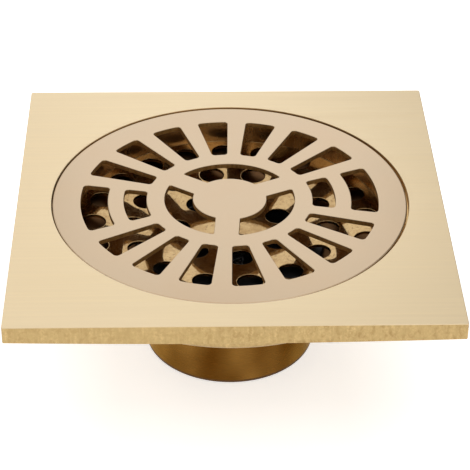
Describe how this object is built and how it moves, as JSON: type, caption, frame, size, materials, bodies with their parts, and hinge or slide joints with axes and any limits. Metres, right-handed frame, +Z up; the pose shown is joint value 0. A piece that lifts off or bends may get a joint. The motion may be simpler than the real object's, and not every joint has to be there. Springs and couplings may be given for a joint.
{
  "type": "floor drain",
  "caption": "Square brass floor drain with a round slotted lift-out cover, perforated hair strainer, shallow bowl, tubular outlet spigot and spring-closed odour valve.",
  "frame": {"origin": "centre of the outlet spigot's lower rim, which is the centre of the part's base", "axes": "+Z up along the drain's axis, out through the cover; +X and +Y along the square plate's sides"},
  "size_m": [0.1, 0.1, 0.0393],
  "materials": {
    "frame_brass": "cast, top satin-brushed",
    "spigot_brass": "fine turned",
    "cover_brass": "satin",
    "strainer_brass": "polished",
    "core_plastic": "moulded",
    "seal_rubber": "moulded",
    "valve_rubber": "moulded silicone",
    "steel": "drawn",
    "spring_steel": "drawn wire"
  },
  "bodies": {
    "drain": {"drain_frame": "frame_brass", "outlet_spigot": "spigot_brass"},
    "core": {"core_shell": "core_plastic", "core_gasket": "seal_rubber", "upper_o_ring": "seal_rubber", "lower_o_ring": "seal_rubber", "guide_bridge": "core_plastic", "valve_spring": "spring_steel"},
    "valve": {"valve_stem": "steel", "stem_top_nut": "steel", "spring_cap": "steel", "gasket_washer": "steel", "valve_gasket": "valve_rubber", "valve_disc": "core_plastic", "stem_bottom_nut": "steel"},
    "strainer": {"hair_strainer": "strainer_brass"},
    "cover": {"grate_cover": "cover_brass"}
  },
  "joints": [
    {"name": "core_lift", "type": "slide", "parent": "drain", "child": "core", "axis": [0, 0, 1], "range_m": [0, 0.045]},
    {"name": "valve_open", "type": "slide", "parent": "core", "child": "valve", "axis": [0, 0, -1], "range_m": [0, 0.0044], "stiffness_N_per_m": 60, "springref_m": -0.008, "deforming": ["valve_spring"]},
    {"name": "strainer_lift", "type": "slide", "parent": "core", "child": "strainer", "axis": [0, 0, 1], "range_m": [0, 0.03]},
    {"name": "cover_lift", "type": "slide", "parent": "strainer", "child": "cover", "axis": [0, 0, 1], "range_m": [0, 0.03]}
  ]
}
